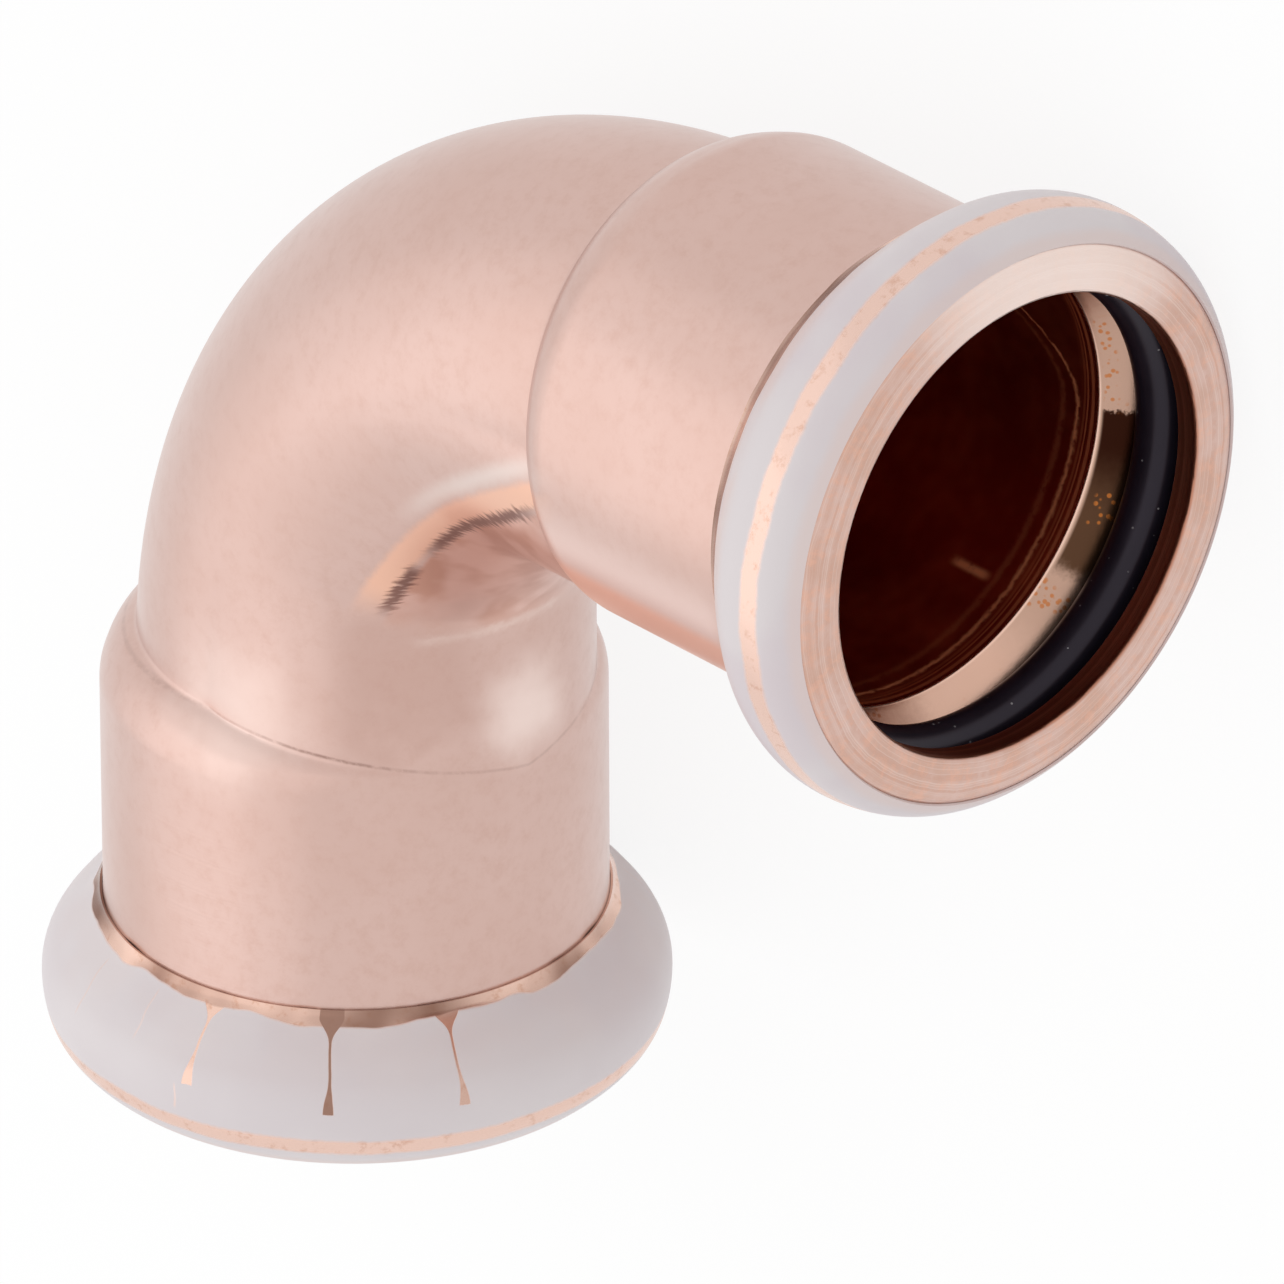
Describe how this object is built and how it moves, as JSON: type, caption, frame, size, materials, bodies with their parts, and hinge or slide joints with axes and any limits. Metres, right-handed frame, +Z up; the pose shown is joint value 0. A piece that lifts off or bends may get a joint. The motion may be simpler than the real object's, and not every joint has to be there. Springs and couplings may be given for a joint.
{
  "type": "press fit elbow",
  "caption": "Right-angled copper press fitting: a bent tube with a socket at each end, a rubber seal in each beaded mouth and a pale indicator sleeve over each bead.",
  "frame": {"origin": "on the floor, under the middle of the lying fitting's outline", "axes": "+Z up; one mouth faces -X and the other -Y, and each socket's axis dips about 10 degrees from its mouth towards the bend, because the fitting lies on both beads and on the back of its bend"},
  "size_m": [0.0788, 0.0788, 0.0375],
  "materials": {
    "satin_copper": "satin pale copper, finely brushed, brighter at the rolled edges",
    "seal_rubber": "satin black rubber",
    "sleeve_plastic": "thin shrunk film, printed pale grey, with a clear band round it"
  },
  "bodies": {
    "root": {"elbow_body": "satin_copper", "left_seal_ring": "seal_rubber", "front_seal_ring": "seal_rubber", "left_indicator_sleeve": "sleeve_plastic", "front_indicator_sleeve": "sleeve_plastic"}
  },
  "joints": []
}
